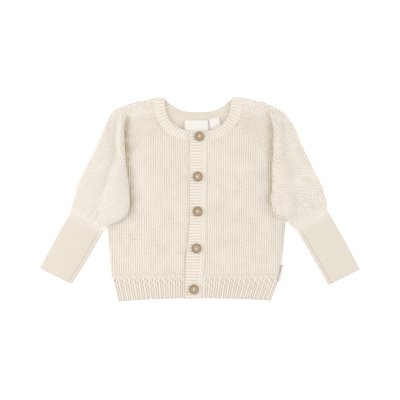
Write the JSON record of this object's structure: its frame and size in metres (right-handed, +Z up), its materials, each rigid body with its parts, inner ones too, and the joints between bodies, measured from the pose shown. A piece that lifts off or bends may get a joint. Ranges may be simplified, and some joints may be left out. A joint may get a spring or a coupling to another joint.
{
  "type": "baby cardigan",
  "caption": "Baby's knitted cardigan with raglan sleeves, lying flat on its back and buttoned down the front",
  "frame": {"origin": "on the resting surface, under the middle of the garment's bounding box", "axes": "+X towards the wearer's left, along the sleeve-to-sleeve width; +Y from hem to neck; +Z up, out of the front of the garment"},
  "size_m": [0.4338, 0.2758, 0.0127],
  "materials": {
    "knit_cotton": "thick half-cardigan rib in soft cream cotton yarn, matt with a little fuzz",
    "rib_cotton": "firmer rib in the same yarn for the neckband and both placket bands",
    "cuff_rib": "fine smooth rib in the same yarn, matt",
    "label_tape": "woven satin tape, left bare",
    "button_wood": "turned light brown wood, waxed, satin"
  },
  "bodies": {
    "root": {"back_panel": "knit_cotton", "right_front": "knit_cotton", "left_front": "knit_cotton", "hem_back": "knit_cotton", "hem_right_front": "knit_cotton", "hem_left_front": "knit_cotton", "right_sleeve": "knit_cotton", "left_sleeve": "knit_cotton", "right_cuff": "cuff_rib", "left_cuff": "cuff_rib", "neckband": "rib_cotton", "buttonhole_band": "rib_cotton", "button_band": "rib_cotton", "button_1": "button_wood", "button_2": "button_wood", "button_3": "button_wood", "button_4": "button_wood", "button_5": "button_wood", "neck_label": "label_tape", "size_label": "label_tape", "side_label": "label_tape"}
  },
  "joints": []
}
